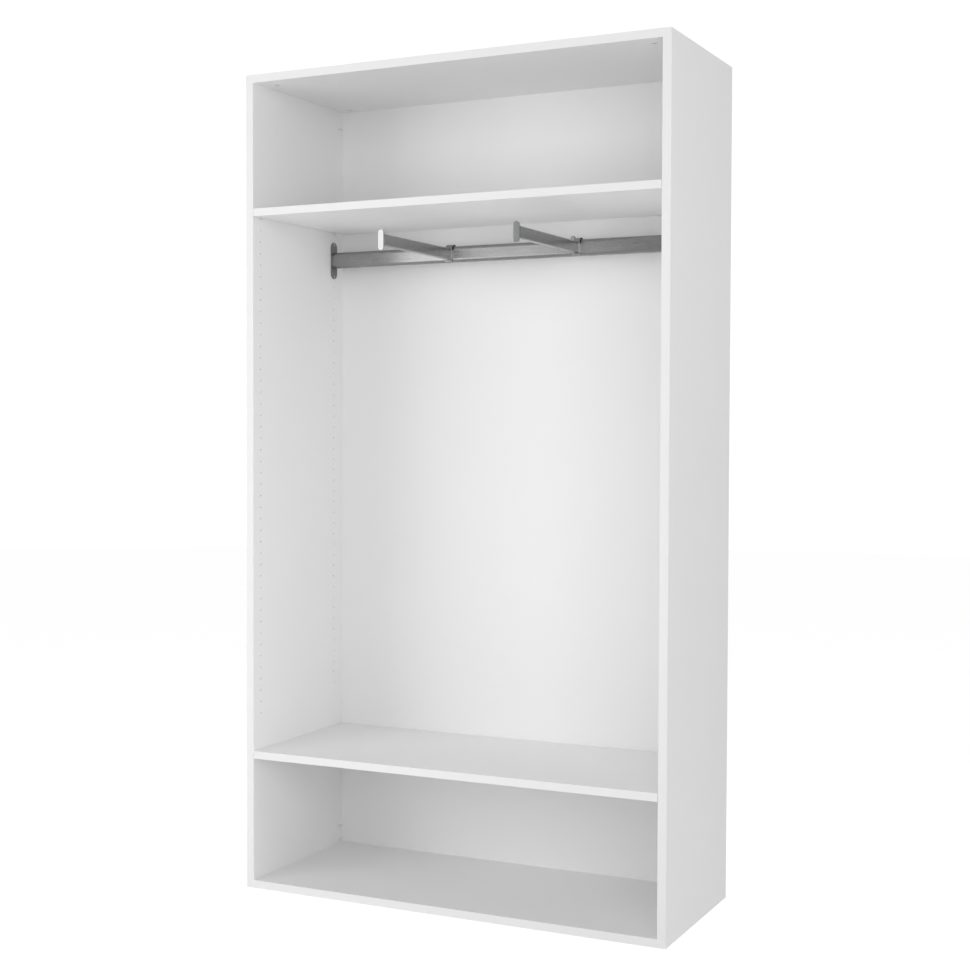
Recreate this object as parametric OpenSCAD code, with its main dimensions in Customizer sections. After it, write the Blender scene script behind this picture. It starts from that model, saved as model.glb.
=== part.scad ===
// Open wardrobe carcass with two loose shelves and a wall-to-wall
// hanging rail that carries two forward-pointing hanging arms.
// Units are millimetres. The origin is on the floor, under the centre
// of the carcass. +X is to the right, +Y to the back, +Z up.

/* [Carcass] */
// Overall width over both side panels
overall_w = 1200; // [900:10:1400]
// Overall depth from the front edge bands to the rear edges
overall_d = 540; // [520:10:620]
// Overall height, floor to top
overall_h = 2250; // [2200:10:2350]
// Thickness of the sides, top and bottom
board_t = 22; // [19:1:25]
// Thickness of the shelves
shelf_t = 21; // [18:1:25]
// Thickness of the edge band on every front edge
band_t = 1; // [0.5:0.5:2]

/* [Back panel] */
// Thickness of the back panel
back_t = 8; // [5:1:10]
// Distance from the rear edges of the sides to the back panel
back_recess = 8; // [6:1:14]
// Depth of the groove that holds the back panel
groove_depth = 8; // [6:1:9]

/* [System holes] */
// Diameter of the system holes in the side panels
hole_d = 5; // [5:0.5:6]
// Depth of the system holes
hole_depth = 9.5; // [9.5:0.5:13]
// Distance from the front edge to the front hole column
col_front_in = 40; // [37:1:50]
// Distance from the rear edge to the rear hole column
col_rear_in = 72; // [66:1:80]
// Number of pitches from mid height down to the lowest hole
k_low = 20; // [8:1:20]
// Number of pitches from mid height up to the highest hole
k_up = 22; // [20:1:22]

/* [Shelves] */
// Height of the lower shelf's underside above the floor
shelf_z_low = 362.5; // [300:0.5:440]
// Height from the upper shelf's underside to the top of the carcass
shelf_drop_up = 386.5; // [340:0.5:386.5]
// Height of the flat seat above the axis of a shelf support
seat_rise = 3; // [3:0.5:4]
// How far the support stands out of the side panel
support_out = 6; // [6:1:12]

/* [Corner joints] */
// Distance from the panel end to the centre of a cam housing
cam_in = 40; // [34:1:48]
// Distance from the front edge to the front cam housing
cam_front_in = 64; // [60:1:80]
// Distance from the rear edge to the rear cam housing
cam_rear_in = 40; // [38:1:50]

/* [Hanging rail] */
// Height of the rail profile
rail_h = 46.5; // [40:0.5:50]
// Depth of the rail profile, front to back
rail_t = 22; // [20:1:24]
// Radius of the rail profile's long edges
rail_r = 10.5; // [4:0.5:10.5]
// Wall of the rail profile
rail_wall = 1.6; // [1.2:0.1:2]
// Width of the end bracket
bracket_w = 35.5; // [30:0.5:40]
// Height of the end bracket
bracket_h = 108; // [106:1:130]
// Thickness of the end bracket
bracket_t = 3; // [3:0.5:6]

/* [Hanging arms] */
// Height of the arm profile
arm_h = 32; // [28:1:36]
// Width of the arm profile
arm_w = 15; // [14:1:20]
// Radius of the arm profile's long edges
arm_r = 3; // [2:0.5:4]
// Wall of the arm profile
arm_wall = 1.5; // [1.2:0.1:2]
// Distance from the carcass front to the face of the end cap
cap_in = 15; // [5:1:60]
// Height of the end cap
cap_h = 55; // [45:1:70]
// Width of the end cap
cap_w = 16; // [16:1:24]
// Thickness of the end cap
cap_t = 5; // [3:0.5:8]
// Width of the saddle that hooks over the rail
saddle_w = 17; // [16:1:24]

/* [Hidden] */

$fn = 48;
e = 1;                                     // overcut of every pocket and bore
pitch = 32;                                // system hole pitch
half_w = overall_w / 2;
half_d = overall_d / 2;
inner = half_w - board_t;                  // inner face of a side panel
front = -half_d;
rear = half_d;
back_y = rear - back_recess - back_t;      // front face of the back panel
grid_0 = overall_h / 2 - 0.5;              // height that the hole grid starts from
function grid(k) = grid_0 + pitch * k;
col_f = front + col_front_in;
col_r = rear - col_rear_in;
shelf_z_up = overall_h - shelf_drop_up;    // underside of the upper shelf
support_z_low = shelf_z_low - seat_rise;
support_z_up = shelf_z_up - seat_rise;
shelf_half = inner - 0.75;                 // loose fit between the sides
shelf_back = back_y - 1;
cam_ys = [front + cam_front_in, rear - cam_rear_in];
dowel_ys = [front + cam_front_in + pitch, rear - cam_rear_in - pitch];

// back panel connectors, as heights of their pins
conn_zs = [board_t + 10.5, board_t + 49.5, overall_h - board_t - 50.5];
conn_y = back_y - 22;

// rail and brackets
rail_z = grid(20.5);                       // the brackets' screws use grid holes
rail_y = col_r;
rail_half = inner - bracket_t;
rail_top = rail_z + rail_h / 2;
rail_front = rail_y - rail_t / 2;
rail_rear = rail_y + rail_t / 2;
screw_dz = 1.5 * pitch;

// saddle and glider section
gap = 0.2;
glider_t = 1.2;
sheet = 3;
saddle_top = rail_top + 2 * gap + glider_t + sheet;
saddle_y0 = rail_front - 2 * gap - glider_t - sheet;   // front face of the saddle's plate
saddle_y1 = rail_rear + 2 * gap + glider_t + sheet;
hook_drop = 24;
lip_r = 5;
lip_z = rail_z - arm_h / 2 - 0.5;          // centre height of the lip's bend
liner_drop = 22;
flange_t = 2.2;                            // side flanges of the glider
flange_h = glider_t + sheet + gap;
flange_drop = 13.5;

// arms sit at the thirds of the clear width
arm_x = inner / 3;
arm_y0 = front + cap_in + cap_t + 5;
arm_y1 = saddle_y0;
screw_y = rail_front - 30;
arm_top = rail_z + arm_h / 2;

// ---------- shared shapes ----------
module rrect(w, h, r) {
    square([w - 2 * r, h], center = true);
    square([w, h - 2 * r], center = true);
    for (sx = [-1, 1], sy = [-1, 1])
        translate([sx * (w / 2 - r), sy * (h / 2 - r)]) circle(r = r);
}

module pill(w, h) {
    square([w, h - w], center = true);
    for (s = [-1, 1]) translate([0, s * (h - w) / 2]) circle(d = w);
}

// extrude a (y, z) section along X, centred on x = 0
module along_x(len) rotate([90, 0, 90]) translate([0, 0, -len / 2]) linear_extrude(len) children();

// extrude an (x, z) section forward from y1 to y0
module along_y(y0, y1) translate([0, y1, 0]) rotate([90, 0, 0]) linear_extrude(y1 - y0) children();

// a cylinder from x0 to x1 at y, z
module bar_x(x0, x1, y, z, d) translate([x0, y, z]) rotate([0, 90, 0]) cylinder(d = d, h = x1 - x0);

module flip(s) { if (s < 0) mirror([1, 0, 0]) children(); else children(); }

// ---------- carcass ----------
module side_panel(s) {
    color("white") flip(s) difference() {
        translate([inner, front + band_t, 0]) cube([board_t, overall_d - band_t, overall_h]);
        // groove for the back panel
        translate([inner - e, back_y, board_t - groove_depth])
            cube([groove_depth + e, back_t + 0.2, overall_h - 2 * board_t + 2 * groove_depth]);
        // two columns of system holes
        for (y = [col_f, col_r], k = [-k_low : k_up])
            bar_x(inner - e, inner + hole_depth, y, grid(k), hole_d);
        // holes of the shelf supports
        for (y = [col_f, col_r], z = [support_z_low, support_z_up])
            bar_x(inner - e, inner + hole_depth, y, z, hole_d);
        // corner joints
        for (z = [board_t / 2, overall_h - board_t / 2]) {
            for (y = cam_ys) bar_x(inner - e, inner + 11, y, z, 5);
            for (y = dowel_ys) bar_x(inner - e, inner + 12.5, y, z, 8);
        }
        // pins of the back panel connectors
        for (z = conn_zs) bar_x(inner - e, inner + hole_depth, conn_y, z, 5);
    }
}

// top or bottom panel, with its lower face at z
module cross_panel(z, groove_up) {
    color("white") difference() {
        translate([-inner, front + band_t, z]) cube([2 * inner, overall_d - band_t, board_t]);
        translate([-inner - e, back_y, groove_up ? z + board_t - groove_depth : z - e])
            cube([2 * inner + 2 * e, back_t + 0.2, groove_depth + e]);
        for (s = [-1, 1]) flip(s) {
            for (y = cam_ys) {
                translate([inner - cam_in, y, z - e]) cylinder(d = 15, h = 13 + e);
                bar_x(inner - cam_in - 3, inner + e, y, z + board_t / 2, 8);
            }
            for (y = dowel_ys) bar_x(inner - 21, inner + e, y, z + board_t / 2, 8);
        }
    }
}

module back_panel() {
    fit = 0.5;
    color("whitesmoke")
        translate([-inner - groove_depth + fit, back_y, board_t - groove_depth + fit])
            cube([2 * (inner + groove_depth - fit), back_t, overall_h - 2 * (board_t - groove_depth + fit)]);
}

module side_band(s) {
    color("white") flip(s) translate([inner, front, 0]) cube([board_t, band_t, overall_h]);
}

module cross_band(z) {
    color("white") translate([-inner, front, z]) cube([2 * inner, band_t, board_t]);
}

module shelf(z) {
    color("white") translate([-shelf_half, front + band_t, z])
        cube([2 * shelf_half, shelf_back - front - band_t, shelf_t]);
}

module shelf_band(z) {
    color("white") translate([-shelf_half, front, z]) cube([2 * shelf_half, band_t, shelf_t]);
}

// ---------- fittings ----------
// round cam with a slot towards the panel end and a cross recess underneath
module cam(y, z) {
    translate([inner - cam_in, y, z]) difference() {
        translate([0, 0, 0.5]) cylinder(d = 14.8, h = 12.3);
        translate([-4, -3.8, board_t / 2 - 3.8]) cube([14, 7.6, 10]);
        for (a = [0, 90]) rotate([0, 0, a]) translate([-4.5, -0.9, 0]) cube([9, 1.8, 3.5]);
    }
}

module cam_housings() {
    color("silver") for (s = [-1, 1], y = cam_ys, z = [0, overall_h - board_t]) flip(s) cam(y, z);
}

// threaded end, shank, neck and head of one connecting bolt
module bolt(y, z) {
    bar_x(inner, inner + 10.5, y, z, 4.9);
    bar_x(inner - cam_in + 7.6, inner, y, z, 7);
    bar_x(inner - cam_in + 3, inner - cam_in + 7.7, y, z, 4);
    bar_x(inner - cam_in - 1, inner - cam_in + 3.1, y, z, 6.6);
}

module connecting_bolts() {
    color("silver") for (s = [-1, 1], y = cam_ys, z = [board_t / 2, overall_h - board_t / 2])
        flip(s) bolt(y, z);
}

module wooden_dowels() {
    color("burlywood") for (s = [-1, 1], y = dowel_ys, z = [board_t / 2, overall_h - board_t / 2])
        flip(s) bar_x(inner - 20, inner + 12, y, z, 7.9);
}

// plug in a system hole with a flat-topped round shoulder
module support(y, z) {
    bar_x(inner - 0.1, inner + 8.5, y, z, hole_d - 0.1);
    intersection() {
        bar_x(inner - support_out, inner, y, z, 9);
        translate([inner - support_out - e, y - 6, z - 6]) cube([support_out + 2 * e, 12, 6 + seat_rise]);
    }
}

module shelf_supports(z) {
    color("silver") for (s = [-1, 1], y = [col_f, col_r]) flip(s) support(y, z);
}

// small wedge that presses the back panel to the rear of its groove
module connector(z) {
    bar_x(inner - 0.1, inner + 8.5, conn_y, z, 4.9);
    bar_x(inner - 3.5, inner, conn_y, z, 7);
    translate([0, 0, z - 2]) linear_extrude(4)
        polygon([[inner, conn_y], [inner, back_y], [inner - 1.5, back_y], [inner - 3.5, conn_y + 2], [inner - 3.5, conn_y]]);
}

module back_panel_connectors() {
    color("gainsboro") for (s = [-1, 1], z = conn_zs) flip(s) connector(z);
}

// ---------- rail ----------
module hanging_rail() {
    color("darkgray") translate([0, rail_y, rail_z]) along_x(2 * rail_half) difference() {
        rrect(rail_t, rail_h, rail_r);
        rrect(rail_t - 2 * rail_wall, rail_h - 2 * rail_wall, rail_r - rail_wall);
    }
}

// pill-shaped wall plate with a spigot that fills the rail's end
module rail_bracket(s) {
    color("gray") flip(s) difference() {
        union() {
            translate([inner - bracket_t / 2, rail_y, rail_z]) along_x(bracket_t) pill(bracket_w, bracket_h);
            translate([rail_half - 8 + 0.05, rail_y, rail_z]) along_x(16)
                rrect(rail_t - 2 * rail_wall - 0.4, rail_h - 2 * rail_wall - 0.4, rail_r - rail_wall - 0.2);
        }
        for (k = [-1, 1]) translate([inner - bracket_t, rail_y, rail_z + k * screw_dz]) rotate([0, 90, 0]) {
            translate([0, 0, -e]) cylinder(d = 5.2, h = bracket_t + 2 * e);
            translate([0, 0, -0.02]) cylinder(d1 = 9.2, d2 = 5.2, h = 2.2);
        }
    }
}

// countersunk screw in a bracket and in a system hole
module bracket_screw(z) {
    difference() {
        translate([inner - bracket_t, rail_y, z]) rotate([0, 90, 0]) {
            cylinder(d1 = 8.9, d2 = 4.9, h = 2.2);
            translate([0, 0, 2.1]) cylinder(d = 4.9, h = bracket_t - 2.1 + 8.5);
        }
        for (a = [0, 90]) translate([inner - bracket_t, rail_y, z]) rotate([a, 0, 0])
            translate([-e, -2.4, -0.5]) cube([e + 1.4, 4.8, 1]);
    }
}

module rail_bracket_screws() {
    color("silver") for (s = [-1, 1], k = [-1, 1]) flip(s) bracket_screw(rail_z + k * screw_dz);
}

// ---------- hanging arms ----------
// hooked section that follows the rail's rounded top, of given sheet,
// clearance to the rail and leg lengths
module hook_section(clear, t, front_drop, rear_drop) {
    k = clear + t;
    z1 = rail_top + k;
    half = rail_t / 2 + k;
    intersection() {
        difference() {
            translate([rail_y, z1 - 60]) rrect(2 * half, 120, rail_r + k);
            translate([rail_y, z1 - t - 60]) rrect(2 * (half - t), 120, rail_r + clear);
        }
        union() {
            translate([rail_y - half - e, z1 - front_drop]) square([half + e, front_drop + e]);
            translate([rail_y - 0.01, z1 - rear_drop]) square([half + e, rear_drop + e]);
        }
    }
}

// nylon rider that lies between the saddle and the rail
module rail_glider(x) {
    color("black") translate([x, 0, 0]) {
        along_x(saddle_w) hook_section(gap, glider_t, liner_drop, liner_drop);
        along_x(saddle_w + 0.4 + 2 * flange_t) hook_section(gap, glider_t, flange_drop, flange_drop);
        // side flanges that keep the saddle centred
        for (s = [-1, 1]) translate([s * (saddle_w / 2 + 0.2 + flange_t / 2), 0, 0]) along_x(flange_t)
            hook_section(gap, flange_h, flange_drop, flange_drop);
    }
}

// bent strap: hook over the rail, front leg, short lip under the arm
// and a tongue inside the arm
module arm_saddle(x) {
    c = 2 * gap + glider_t;
    plate_z = lip_z;
    color("gray") translate([x, 0, 0]) difference() {
        union() {
            along_x(saddle_w) {
                hook_section(c, sheet, saddle_top - plate_z, hook_drop);
                translate([saddle_y0 + sheet - lip_r, lip_z]) intersection() {
                    difference() { circle(r = lip_r); circle(r = lip_r - sheet); }
                    translate([0, -lip_r]) square([lip_r, lip_r + 0.01]);
                }
                translate([saddle_y0 + sheet - lip_r - 2, lip_z - lip_r]) square([2.01, sheet]);
            }
            translate([0, saddle_y0 - 60, rail_z]) along_y(0, 60.05)
                rrect(arm_w - 2 * arm_wall - 0.4, arm_h - 2 * arm_wall - 0.4, 1);
        }
        translate([0, screw_y, arm_top - 16]) cylinder(d = 6.1, h = 16);
    }
}

module arm_profile(x) {
    color("darkgray") translate([x, 0, 0]) difference() {
        translate([0, 0, rail_z]) along_y(arm_y0, arm_y1) difference() {
            rrect(arm_w, arm_h, arm_r);
            rrect(arm_w - 2 * arm_wall, arm_h - 2 * arm_wall, arm_r - arm_wall);
        }
        translate([0, screw_y, arm_top - 4]) cylinder(d = 6.4, h = 5);
        // oblong hole through both side walls, close to the rail end
        translate([0, arm_y1 - 16, arm_top - 5.5]) rotate([0, 90, 0])
            linear_extrude(arm_w + 2 * e, center = true) pill(5, 12);
    }
}

// pill-shaped face, recessed neck and plug inside the arm
module arm_end_cap(x) {
    color("lightgray") translate([x, 0, rail_z]) {
        along_y(front + cap_in, front + cap_in + cap_t) pill(cap_w, cap_h);
        along_y(front + cap_in + cap_t - 0.05, arm_y0) rrect(arm_w - 2, arm_h - 2, 2);
        along_y(arm_y0 - 0.05, arm_y0 + 15) rrect(arm_w - 2 * arm_wall - 0.4, arm_h - 2 * arm_wall - 0.4, 1);
    }
}

// clamp screw with a tall round head and a domed top
module headed_screw(x) {
    color("silver") translate([x, screw_y, arm_top]) difference() {
        union() {
            translate([0, 0, -13]) cylinder(d = 6, h = 13.1);
            cylinder(d = 14, h = 8.5);
            translate([0, 0, 8.5]) cylinder(d1 = 14, d2 = 12, h = 2.5);
            translate([0, 0, 11]) cylinder(d1 = 12, d2 = 8, h = 1.5);
        }
        translate([0, 0, 8.5]) cylinder(d = 5, h = 5, $fn = 6);
    }
}

// headless set screw, just below the arm's top
module set_screw(x) {
    color("silver") translate([x, screw_y, arm_top]) difference() {
        translate([0, 0, -13]) cylinder(d = 6, h = 12.6);
        translate([0, 0, -3.9]) cylinder(d = 3.4, h = 4, $fn = 6);
    }
}

side_panel(-1);  // left_side_panel
side_panel(1);  // right_side_panel
cross_panel(overall_h - board_t, false);  // top_panel
cross_panel(0, true);  // bottom_panel
back_panel();
side_band(-1);  // left_side_edge_band
side_band(1);  // right_side_edge_band
cross_band(overall_h - board_t);  // top_edge_band
cross_band(0);  // bottom_edge_band
shelf(shelf_z_up);  // upper_shelf
shelf_band(shelf_z_up);  // upper_shelf_edge_band
shelf(shelf_z_low);  // lower_shelf
shelf_band(shelf_z_low);  // lower_shelf_edge_band
cam_housings();
connecting_bolts();
wooden_dowels();
shelf_supports(support_z_up);  // upper_shelf_supports
shelf_supports(support_z_low);  // lower_shelf_supports
back_panel_connectors();
hanging_rail();
rail_bracket(-1);  // left_rail_bracket
rail_bracket(1);  // right_rail_bracket
rail_bracket_screws();
rail_glider(-arm_x);  // left_rail_glider
arm_saddle(-arm_x);  // left_arm_saddle
arm_profile(-arm_x);  // left_arm_profile
arm_end_cap(-arm_x);  // left_arm_end_cap
set_screw(-arm_x);  // left_arm_screw
rail_glider(arm_x);  // right_rail_glider
arm_saddle(arm_x);  // right_arm_saddle
arm_profile(arm_x);  // right_arm_profile
arm_end_cap(arm_x);  // right_arm_end_cap
headed_screw(arm_x);  // right_arm_screw
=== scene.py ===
import bpy, math
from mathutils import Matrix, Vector


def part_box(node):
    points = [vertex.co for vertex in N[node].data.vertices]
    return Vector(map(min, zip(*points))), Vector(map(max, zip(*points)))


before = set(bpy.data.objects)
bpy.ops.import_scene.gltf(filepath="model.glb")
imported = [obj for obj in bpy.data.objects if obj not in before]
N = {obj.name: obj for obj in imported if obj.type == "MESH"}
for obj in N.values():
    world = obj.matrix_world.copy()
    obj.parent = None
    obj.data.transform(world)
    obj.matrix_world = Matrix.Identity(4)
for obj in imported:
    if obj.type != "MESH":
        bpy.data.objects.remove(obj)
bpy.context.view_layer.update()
sc = bpy.context.scene
sc.view_settings.view_transform = "Standard"
sc.view_settings.look = "None"
sc.view_settings.exposure = 0.0
sc.view_settings.gamma = 1.0

# ------------------------------------------------------------------ sizes read from the frame
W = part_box("right_side_panel")[1].x          # half width
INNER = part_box("right_side_panel")[0].x      # inner face of a side panel
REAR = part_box("right_side_panel")[1].y
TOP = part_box("right_side_panel")[1].z
BOARD = W - INNER

# ------------------------------------------------------------------ camera
cam_data = bpy.data.cameras.new("camera")
cam = bpy.data.objects.new("camera", cam_data)
sc.collection.objects.link(cam)
cam.location = (1.873409, -4.368366, 1.280262)
cam.rotation_euler = (math.radians(90 - 1.88890658), 0.0, math.radians(28.93622902))
cam_data.sensor_fit = "HORIZONTAL"
cam_data.sensor_width = 36.0
cam_data.lens = 1726.46676 / 970 * 36.0
cam_data.shift_x = 0.17826
cam_data.shift_y = -0.00025
cam_data.clip_start = 0.05
cam_data.clip_end = 200
sc.camera = cam


# ------------------------------------------------------------------ node helpers
class Tree:
    """Small wrapper that keeps node code short."""

    def __init__(self, name):
        self.mat = bpy.data.materials.new(name)
        self.mat.use_nodes = True
        self.t = self.mat.node_tree
        self.t.nodes.clear()
        self.out = self.node("ShaderNodeOutputMaterial")
        self.bsdf = self.node("ShaderNodeBsdfPrincipled")
        self.link(self.bsdf.outputs[0], self.out.inputs["Surface"])
        self.coord = self.node("ShaderNodeTexCoord").outputs["Object"]

    def node(self, kind, **props):
        n = self.t.nodes.new(kind)
        for k, v in props.items():
            setattr(n, k, v)
        return n

    def link(self, a, b):
        self.t.links.new(a, b)

    def put(self, sock, v):
        if isinstance(v, bpy.types.NodeSocket):
            self.link(v, sock)
        else:
            sock.default_value = v

    def math(self, op, a, b=None, c=None):
        n = self.node("ShaderNodeMath", operation=op)
        for i, v in enumerate((a, b, c)):
            if v is not None:
                self.put(n.inputs[i], v)
        return n.outputs[0]

    def stretch(self, scale, rotation=(0, 0, 0)):
        n = self.node("ShaderNodeMapping")
        n.inputs["Scale"].default_value = scale
        n.inputs["Rotation"].default_value = rotation
        self.link(self.coord, n.inputs["Vector"])
        return n.outputs[0]

    def noise(self, vec, scale, detail=2.0, rough=0.5, distort=0.0):
        n = self.node("ShaderNodeTexNoise")
        self.link(vec, n.inputs["Vector"])
        n.inputs["Scale"].default_value = scale
        n.inputs["Detail"].default_value = detail
        n.inputs["Roughness"].default_value = rough
        n.inputs["Distortion"].default_value = distort
        return n.outputs["Fac"]

    def voronoi(self, vec, scale, feature="F1", out="Distance"):
        n = self.node("ShaderNodeTexVoronoi", feature=feature)
        self.link(vec, n.inputs["Vector"])
        n.inputs["Scale"].default_value = scale
        return n.outputs[out]

    def ramp(self, fac, lo, hi, a, b):
        n = self.node("ShaderNodeMapRange")
        self.link(fac, n.inputs["Value"])
        for s, v in (("From Min", lo), ("From Max", hi), ("To Min", a), ("To Max", b)):
            n.inputs[s].default_value = v
        return n.outputs["Result"]

    def mix(self, fac, a, b):
        n = self.node("ShaderNodeMix", data_type="RGBA")
        self.put(n.inputs[0], fac)
        self.put(n.inputs[6], a)
        self.put(n.inputs[7], b)
        return n.outputs[2]

    def bump(self, height, strength, distance, normal=None):
        n = self.node("ShaderNodeBump")
        self.link(height, n.inputs["Height"])
        n.inputs["Strength"].default_value = strength
        n.inputs["Distance"].default_value = distance
        if normal is not None:
            self.link(normal, n.inputs["Normal"])
        return n.outputs[0]

    def xyz(self):
        n = self.node("ShaderNodeSeparateXYZ")
        self.link(self.coord, n.inputs[0])
        return n.outputs


def grey(v, warm=0.0):
    return (v, v * (1 - 0.5 * warm), v * (1 - warm), 1.0)


# ------------------------------------------------------------------ materials
plain = list(bpy.data.materials)             # the frame's own flat colours, all replaced below
for m in plain:
    m.name = "plain_" + m.name
WHITE = 0.945     # albedo of the white boards
BAND = 0.93       # and of their edge bands


def board_material(name, axis, lo, hi, keep_ends=False):
    """White melamine-faced board. Points strictly inside the board's thickness (rear edge, groove,
    pockets) show the pale chipboard core; with keep_ends the top end and the small bores stay white."""
    t = Tree(name)
    p = t.xyz()
    d = t.math("ABSOLUTE", p[axis]) if axis == 0 else p[axis]
    core = t.math("MULTIPLY", t.math("GREATER_THAN", d, lo + 0.0004), t.math("LESS_THAN", d, hi - 0.0004))
    if keep_ends:
        core = t.math("MULTIPLY", core, t.math("LESS_THAN", p[2], TOP - 0.0003))
        core = t.math("MULTIPLY", core, t.math("GREATER_THAN", p[1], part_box("back_panel")[0].y - 0.001))
    # white face: pearl grain, very slight cloudiness
    pearl = t.noise(t.coord, 950.0, 2.0, 0.55)
    peel = t.noise(t.coord, 160.0, 2.0, 0.5)
    cloud = t.noise(t.coord, 2.2, 3.0, 0.5)
    face = t.mix(t.ramp(cloud, 0.3, 0.7, 0.0, 1.0), grey(WHITE * 1.006), grey(WHITE * 0.994))
    # core: pressed chips
    chips = t.voronoi(t.stretch((1.0, 1.0, 2.2)), 420.0, out="Color")
    sep = t.node("ShaderNodeSeparateColor")
    t.link(chips, sep.inputs[0])
    fine = t.noise(t.coord, 1500.0, 3.0, 0.6)
    core_col = t.mix(sep.outputs[0], (0.80, 0.755, 0.68, 1), (0.70, 0.63, 0.53, 1))
    core_col = t.mix(t.ramp(fine, 0.35, 0.65, 0.0, 0.35), core_col, (0.87, 0.84, 0.79, 1))
    t.link(t.mix(core, face, core_col), t.bsdf.inputs["Base Color"])
    r_face = t.ramp(peel, 0.3, 0.7, 0.40, 0.50)
    r = t.node("ShaderNodeMix", data_type="FLOAT")
    t.link(core, r.inputs[0]); t.link(r_face, r.inputs[2]); r.inputs[3].default_value = 0.9
    t.link(r.outputs[0], t.bsdf.inputs["Roughness"])
    b = t.bump(pearl, 0.25, 0.00006)
    b = t.bump(peel, 0.20, 0.00010, b)
    b = t.bump(t.math("MULTIPLY", core, sep.outputs[0]), 0.5, 0.0003, b)
    t.link(b, t.bsdf.inputs["Normal"])
    t.bsdf.inputs["Specular IOR Level"].default_value = 0.4
    return t.mat


def back_material():
    """White lacquered fibreboard: smooth, with the faint felt of the fibres, brown on the rear face."""
    t = Tree("white_back")
    p = t.xyz()
    y0, y1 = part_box("back_panel")[0].y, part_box("back_panel")[1].y
    rear = t.math("GREATER_THAN", p[1], y0 + 0.0005)
    felt = t.noise(t.coord, 700.0, 3.0, 0.6)
    cloud = t.noise(t.coord, 1.7, 3.0, 0.5)
    face = t.mix(t.ramp(cloud, 0.3, 0.7, 0.0, 1.0), grey(WHITE * 1.006), grey(WHITE * 0.993))
    fibre = t.noise(t.stretch((1.0, 1.0, 1.4)), 260.0, 6.0, 0.7)
    raw = t.mix(t.ramp(fibre, 0.3, 0.7, 0.0, 1.0), (0.66, 0.575, 0.47, 1), (0.52, 0.435, 0.34, 1))
    t.link(t.mix(rear, face, raw), t.bsdf.inputs["Base Color"])
    r = t.node("ShaderNodeMix", data_type="FLOAT")
    t.link(rear, r.inputs[0]); t.link(t.ramp(felt, 0.3, 0.7, 0.42, 0.54), r.inputs[2]); r.inputs[3].default_value = 0.75
    t.link(r.outputs[0], t.bsdf.inputs["Roughness"])
    b = t.bump(felt, 0.2, 0.00005)
    b = t.bump(t.math("MULTIPLY", rear, fibre), 0.4, 0.0002, b)
    t.link(b, t.bsdf.inputs["Normal"])
    t.bsdf.inputs["Specular IOR Level"].default_value = 0.35
    return t.mat


def band_material():
    """White edge band: satin plastic, faint lines along its length from the roller."""
    t = Tree("white_edge_band")
    fine = t.noise(t.coord, 800.0, 2.0, 0.5)
    cloud = t.noise(t.coord, 3.0, 2.0, 0.5)
    t.link(t.mix(t.ramp(cloud, 0.3, 0.7, 0.0, 1.0), grey(BAND * 1.012), grey(BAND * 1.0)), t.bsdf.inputs["Base Color"])
    t.link(t.ramp(fine, 0.3, 0.7, 0.34, 0.44), t.bsdf.inputs["Roughness"])
    t.link(t.bump(fine, 0.15, 0.00005), t.bsdf.inputs["Normal"])
    t.bsdf.inputs["Specular IOR Level"].default_value = 0.45
    return t.mat


def metal_material(name, col, rough, grain, strength=0.10, var=0.06, metallic=1.0, drawn=None, spread=0.7):
    """Satin metal whose grain runs along the axis with the smallest number in grain.
    drawn names the profile's long axis: reflections then spread across the grain."""
    t = Tree(name)
    g = t.noise(t.stretch(grain), 1.0, 4.0, 0.65)
    spots = t.noise(t.coord, 35.0, 3.0, 0.5)
    c0, c1 = [c * (1 + var) for c in col], [c * (1 - var) for c in col]
    base = t.mix(t.ramp(g, 0.3, 0.7, 0.0, 1.0), (*c0, 1), (*c1, 1))
    base = t.mix(t.ramp(spots, 0.35, 0.75, 0.0, 0.12), base, (*[c * 0.8 for c in col], 1))
    t.link(base, t.bsdf.inputs["Base Color"])
    t.bsdf.inputs["Metallic"].default_value = metallic
    r = t.math("ADD", t.ramp(g, 0.3, 0.7, rough - 0.04, rough + 0.04), t.ramp(spots, 0.3, 0.7, -0.015, 0.015))
    t.link(r, t.bsdf.inputs["Roughness"])
    t.link(t.bump(g, strength, 0.00006), t.bsdf.inputs["Normal"])
    if drawn:
        tan = t.node("ShaderNodeTangent", direction_type="RADIAL", axis=drawn)
        t.link(tan.outputs[0], t.bsdf.inputs["Tangent"])
        t.bsdf.inputs["Anisotropic"].default_value = spread
    return t.mat


def strap_material(name, col, rough, x0, half):
    """Bent steel strap around x = x0: satin faces, with a painted highlight along both side edges."""
    t = Tree(name)
    g = t.noise(t.stretch((500.0, 60.0, 60.0)), 1.0, 4.0, 0.65)
    p = t.xyz()
    off = t.math("ABSOLUTE", t.math("SUBTRACT", p[0], x0))
    edge = t.math("GREATER_THAN", off, half - 0.0004)
    face = t.mix(t.ramp(g, 0.3, 0.7, 0.0, 1.0), (*[c * 1.05 for c in col], 1), (*[c * 0.95 for c in col], 1))
    # painted highlight: base colour raised to 0.90 along both side edges of the strap, standing in for the light those
    # edges reflect
    t.link(t.mix(edge, face, (0.90, 0.90, 0.90, 1)), t.bsdf.inputs["Base Color"])
    t.bsdf.inputs["Metallic"].default_value = 1.0
    t.link(t.ramp(g, 0.3, 0.7, rough - 0.04, rough + 0.04), t.bsdf.inputs["Roughness"])
    t.link(t.bump(g, 0.15, 0.00006), t.bsdf.inputs["Normal"])
    return t.mat


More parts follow.
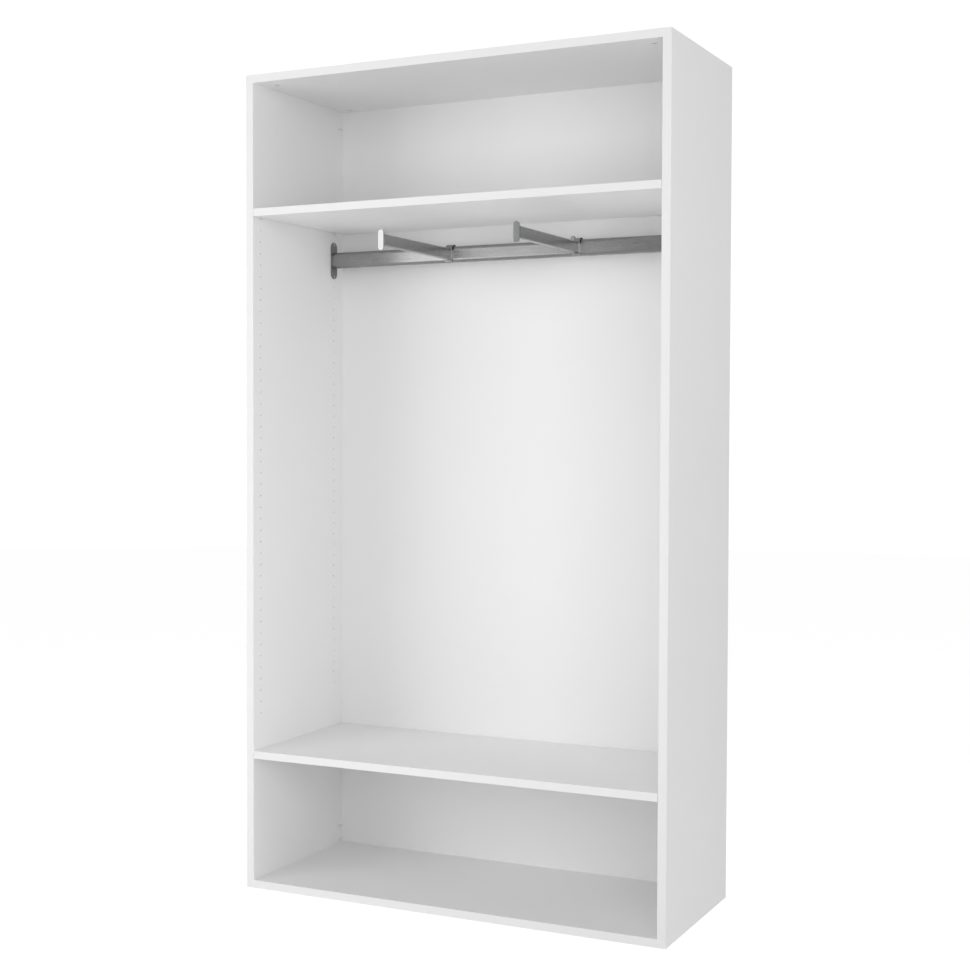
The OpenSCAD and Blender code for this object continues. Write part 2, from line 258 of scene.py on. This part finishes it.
def plastic_material(name, col, rough, scale=900.0):
    t = Tree(name)
    tex = t.noise(t.coord, scale, 2.0, 0.5)
    cloud = t.noise(t.coord, 60.0, 2.0, 0.5)
    t.link(t.mix(t.ramp(cloud, 0.3, 0.7, 0.0, 1.0), (*[c * 1.04 for c in col], 1), (*[c * 0.94 for c in col], 1)), t.bsdf.inputs["Base Color"])
    t.link(t.ramp(tex, 0.3, 0.7, rough - 0.06, rough + 0.06), t.bsdf.inputs["Roughness"])
    t.link(t.bump(tex, 0.3, 0.00006), t.bsdf.inputs["Normal"])
    return t.mat


def beech_material():
    t = Tree("beech")
    ring = t.node("ShaderNodeTexWave", wave_type="BANDS", bands_direction="Y")
    t.link(t.stretch((12.0, 160.0, 160.0)), ring.inputs["Vector"])
    ring.inputs["Scale"].default_value = 1.0
    ring.inputs["Distortion"].default_value = 5.0
    ring.inputs["Detail"].default_value = 3.0
    fleck = t.noise(t.stretch((150.0, 1600.0, 1600.0)), 1.0, 2.0, 0.6)
    c = t.mix(ring.outputs["Fac"], (0.72, 0.56, 0.38, 1), (0.62, 0.46, 0.29, 1))
    c = t.mix(t.ramp(fleck, 0.55, 0.75, 0.0, 0.5), c, (0.45, 0.31, 0.19, 1))
    t.link(c, t.bsdf.inputs["Base Color"])
    t.bsdf.inputs["Roughness"].default_value = 0.62
    t.link(t.bump(fleck, 0.4, 0.0001), t.bsdf.inputs["Normal"])
    return t.mat


side_mat = board_material("white_board_side", 0, INNER, W, keep_ends=True)
bottom_mat = board_material("white_board_bottom", 2, 0.0, BOARD)
top_mat = board_material("white_board_top", 2, TOP - BOARD, TOP)
us0, us1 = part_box("upper_shelf"); ls0, ls1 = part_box("lower_shelf")
upper_mat = board_material("white_board_upper_shelf", 2, us0.z, us1.z)
lower_mat = board_material("white_board_lower_shelf", 2, ls0.z, ls1.z)
back_mat = back_material()
band_mat = band_material()
SATIN = (0.340, 0.340, 0.344)
rail_mat = metal_material("satin_metal_rail", SATIN, 0.28, (9.0, 900.0, 900.0), strength=0.05, var=0.03, drawn="X")
arm_mat = metal_material("satin_metal_arm", SATIN, 0.24, (900.0, 14.0, 900.0))
SADDLE = {}
for s in ("left", "right"):
    a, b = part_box(s + "_arm_saddle")
    SADDLE[s] = strap_material("satin_metal_strap_" + s, SATIN, 0.34, (a.x + b.x) / 2, (b.x - a.x) / 2)
bracket_mat = metal_material("dark_metal", (0.25, 0.25, 0.254), 0.30, (500.0, 500.0, 120.0), var=0.04)
cap_mat = metal_material("cap_metal", (0.33, 0.33, 0.334), 0.13, (420.0, 420.0, 420.0), var=0.03)
screw_mat = metal_material("screw_steel", (0.55, 0.55, 0.56), 0.25, (700.0, 700.0, 700.0), var=0.05)
arm_screw_mat = metal_material("arm_screw_steel", (0.36, 0.36, 0.363), 0.32, (700.0, 700.0, 700.0), var=0.05)
zinc_mat = metal_material("zinc", (0.74, 0.74, 0.745), 0.34, (500.0, 500.0, 500.0), strength=0.2, var=0.06)
nickel_mat = metal_material("bright_nickel", (0.86, 0.86, 0.86), 0.38, (600.0, 600.0, 600.0), strength=0.15, var=0.03)
nylon_mat = plastic_material("black_nylon", (0.022, 0.022, 0.023), 0.45)
pale_mat = plastic_material("pale_plastic", (0.84, 0.84, 0.835), 0.42)
beech_mat = beech_material()

LOOK = {
    "left_side_panel": side_mat, "right_side_panel": side_mat, "top_panel": top_mat, "bottom_panel": bottom_mat,
    "upper_shelf": upper_mat, "lower_shelf": lower_mat, "back_panel": back_mat,
    "cam_housings": zinc_mat, "connecting_bolts": zinc_mat, "wooden_dowels": beech_mat,
    "upper_shelf_supports": nickel_mat, "lower_shelf_supports": nickel_mat, "back_panel_connectors": pale_mat,
    "hanging_rail": rail_mat, "left_rail_bracket": bracket_mat, "right_rail_bracket": bracket_mat,
    "rail_bracket_screws": screw_mat,
}
for n in N:
    if n.endswith("_edge_band"):
        LOOK[n] = band_mat
for s in ("left", "right"):
    LOOK[s + "_rail_glider"] = nylon_mat
    LOOK[s + "_arm_saddle"] = SADDLE[s]
    LOOK[s + "_arm_profile"] = arm_mat
    LOOK[s + "_arm_end_cap"] = cap_mat
    LOOK[s + "_arm_screw"] = arm_screw_mat

for n, o in N.items():
    mat = LOOK[n]
    if not o.material_slots:
        o.data.materials.append(mat)
    for sl in o.material_slots:
        sl.material = mat
for m in plain:
    if m.users == 0:
        bpy.data.materials.remove(m)


# ------------------------------------------------------------------ edge softening, as modifiers on the CAD meshes
def soften(o, width, segments=2, angle=40.0):
    m = o.modifiers.new("weld", "WELD")
    m.merge_threshold = 0.00001
    m = o.modifiers.new("flat", "DECIMATE")
    m.decimate_type = "DISSOLVE"
    m.angle_limit = math.radians(0.6)
    if width:
        m = o.modifiers.new("arris", "BEVEL")
        m.width = width
        m.segments = segments
        m.limit_method = "ANGLE"
        m.angle_limit = math.radians(angle)
        m.use_clamp_overlap = True
        m.harden_normals = False
    m = o.modifiers.new("normals", "WEIGHTED_NORMAL")
    m.keep_sharp = False


EDGE = {
    "left_rail_bracket": 0.0005, "right_rail_bracket": 0.0005,
    "upper_shelf": 0.0003, "lower_shelf": 0.0003, "back_panel": 0.0003,
}
for n, o in N.items():
    if n.endswith("_edge_band"):
        soften(o, 0.00042, 3)
    elif n in EDGE:
        soften(o, EDGE[n])
    elif n.endswith("_end_cap"):
        soften(o, 0.0007, 3)
    elif n.endswith("_arm_saddle") or n.endswith("_arm_profile"):
        soften(o, 0.0002)

# ------------------------------------------------------------------ floor, world, lights
bpy.ops.mesh.primitive_circle_add(vertices=96, radius=14.0, fill_type="NGON", location=(0, 0, 0))
floor = bpy.context.object
floor.name = "floor"
fm = bpy.data.materials.new("floor")
fm.use_nodes = True
ft = fm.node_tree
ft.nodes.clear()
fo = ft.nodes.new("ShaderNodeOutputMaterial")
lp = ft.nodes.new("ShaderNodeLightPath")
dif = ft.nodes.new("ShaderNodeBsdfDiffuse"); dif.inputs[0].default_value = (0.62, 0.62, 0.62, 1)
dif2 = ft.nodes.new("ShaderNodeBsdfDiffuse"); dif2.inputs[0].default_value = (0.22, 0.22, 0.22, 1)
em = ft.nodes.new("ShaderNodeEmission"); em.inputs[0].default_value = (1, 1, 1, 1); em.inputs[1].default_value = 0.93
add = ft.nodes.new("ShaderNodeAddShader")
ft.links.new(dif2.outputs[0], add.inputs[0]); ft.links.new(em.outputs[0], add.inputs[1])
mx = ft.nodes.new("ShaderNodeMixShader")
ft.links.new(lp.outputs["Is Camera Ray"], mx.inputs[0])
# light that the floor sends up: a little everywhere, more just in front of the wardrobe
glow = ft.nodes.new("ShaderNodeEmission"); glow.inputs[0].default_value = (1, 1, 1, 1)
ftc = ft.nodes.new("ShaderNodeTexCoord")
fmp = ft.nodes.new("ShaderNodeMapping"); fmp.inputs["Location"].default_value = (0.5, 1.3, 0)
fln = ft.nodes.new("ShaderNodeVectorMath"); fln.operation = "LENGTH"
fmr = ft.nodes.new("ShaderNodeMapRange"); fmr.interpolation_type = "SMOOTHSTEP"
for sock, v in (("From Min", 0.4), ("From Max", 1.9), ("To Min", 0.385), ("To Max", 0.105)):
    fmr.inputs[sock].default_value = v
ft.links.new(ftc.outputs["Object"], fmp.inputs[0]); ft.links.new(fmp.outputs[0], fln.inputs[0])
ft.links.new(fln.outputs["Value"], fmr.inputs["Value"])
fgl = ft.nodes.new("ShaderNodeMath"); fgl.operation = "MULTIPLY_ADD"
fgl.inputs[1].default_value = -0.85; fgl.inputs[2].default_value = 1.0
ft.links.new(lp.outputs["Is Glossy Ray"], fgl.inputs[0])
fgm = ft.nodes.new("ShaderNodeMath"); fgm.operation = "MULTIPLY"
ft.links.new(fmr.outputs[0], fgm.inputs[0]); ft.links.new(fgl.outputs[0], fgm.inputs[1])
ft.links.new(fgm.outputs[0], glow.inputs[1])
lit = ft.nodes.new("ShaderNodeAddShader")
ft.links.new(dif.outputs[0], lit.inputs[0]); ft.links.new(glow.outputs[0], lit.inputs[1])
ft.links.new(lit.outputs[0], mx.inputs[1]); ft.links.new(add.outputs[0], mx.inputs[2])
ft.links.new(mx.outputs[0], fo.inputs[0])
floor.data.materials.append(fm)

world = bpy.data.worlds.new("world")
sc.world = world
world.use_nodes = True
wt = world.node_tree
wt.nodes.clear()
wo = wt.nodes.new("ShaderNodeOutputWorld")
bg = wt.nodes.new("ShaderNodeBackground"); bg.inputs[0].default_value = (1, 1, 1, 1); 
wtc = wt.nodes.new("ShaderNodeTexCoord")
wsx = wt.nodes.new("ShaderNodeSeparateXYZ")
wt.links.new(wtc.outputs["Generated"], wsx.inputs[0])


def wmath(op, a, b):
    n = wt.nodes.new("ShaderNodeMath")
    n.operation = op
    for i, v in enumerate((a, b)):
        if isinstance(v, bpy.types.NodeSocket):
            wt.links.new(v, n.inputs[i])
        else:
            n.inputs[i].default_value = v
    return n.outputs[0]


# soft room light: even, and stronger from the right
side_light = wmath("POWER", wmath("MAXIMUM", wsx.outputs[0], 0.0), 2.0)
wt.links.new(wmath("ADD", 0.20, wmath("MULTIPLY", side_light, 0.51)), bg.inputs[1])
bg2 = wt.nodes.new("ShaderNodeBackground"); bg2.inputs[0].default_value = (1, 1, 1, 1); bg2.inputs[1].default_value = 1.05
wl = wt.nodes.new("ShaderNodeLightPath")
wm = wt.nodes.new("ShaderNodeMixShader")
wt.links.new(wl.outputs["Is Camera Ray"], wm.inputs[0])
wt.links.new(bg.outputs[0], wm.inputs[1]); wt.links.new(bg2.outputs[0], wm.inputs[2])
wt.links.new(wm.outputs[0], wo.inputs[0])


def softbox(name, loc, aim, w, h, energy):
    d = bpy.data.lights.new(name, "AREA")
    d.shape = "RECTANGLE"
    d.size, d.size_y, d.energy = w, h, energy
    o = bpy.data.objects.new(name, d)
    sc.collection.objects.link(o)
    o.location = loc
    o.rotation_euler = (Vector(aim) - Vector(loc)).to_track_quat("-Z", "Y").to_euler()
    o.visible_camera = False
    return o


def around(name, az, el, dist, w, h, energy, target=(0.0, 0.0, 1.2)):
    """A softbox seen from the wardrobe at az degrees to the left of straight ahead."""
    a, e = math.radians(az), math.radians(el)
    d = Vector((-math.sin(a) * math.cos(e), -math.cos(a) * math.cos(e), math.sin(e)))
    return softbox(name, Vector(target) + d * dist, target, w, h, energy)


around("key_left", 38, 5, 4.2, 2.1, 3.0, 49.0)
around("key_left_edge", 21.5, 5, 4.2, 0.42, 3.0, 5.0)
around("front", 5, 8, 4.4, 1.8, 2.6, 1.5)
around("fill_right", -30, 8, 4.2, 2.4, 2.6, 48.5)
around("side_right", -90, 8, 4.2, 2.4, 2.6, 33.2)
around("front_high", 18, 50, 4.2, 2.6, 1.6, 9.5)
# close and weak, for the faces that the camera doesn't see: the left side, the back and the top
around("side_left", 110, 0, 2.2, 1.2, 2.0, 9.0)
softbox("rear", (0.0, REAR + 1.3, 1.2), (0.0, 0.0, 1.2), 1.1, 2.0, 10.0)
softbox("above", (0.0, 0.2, TOP + 1.2), (0.0, 0.0, TOP), 1.1, 0.45, 4.5)

# ------------------------------------------------------------------ finish
bpy.context.view_layer.update()
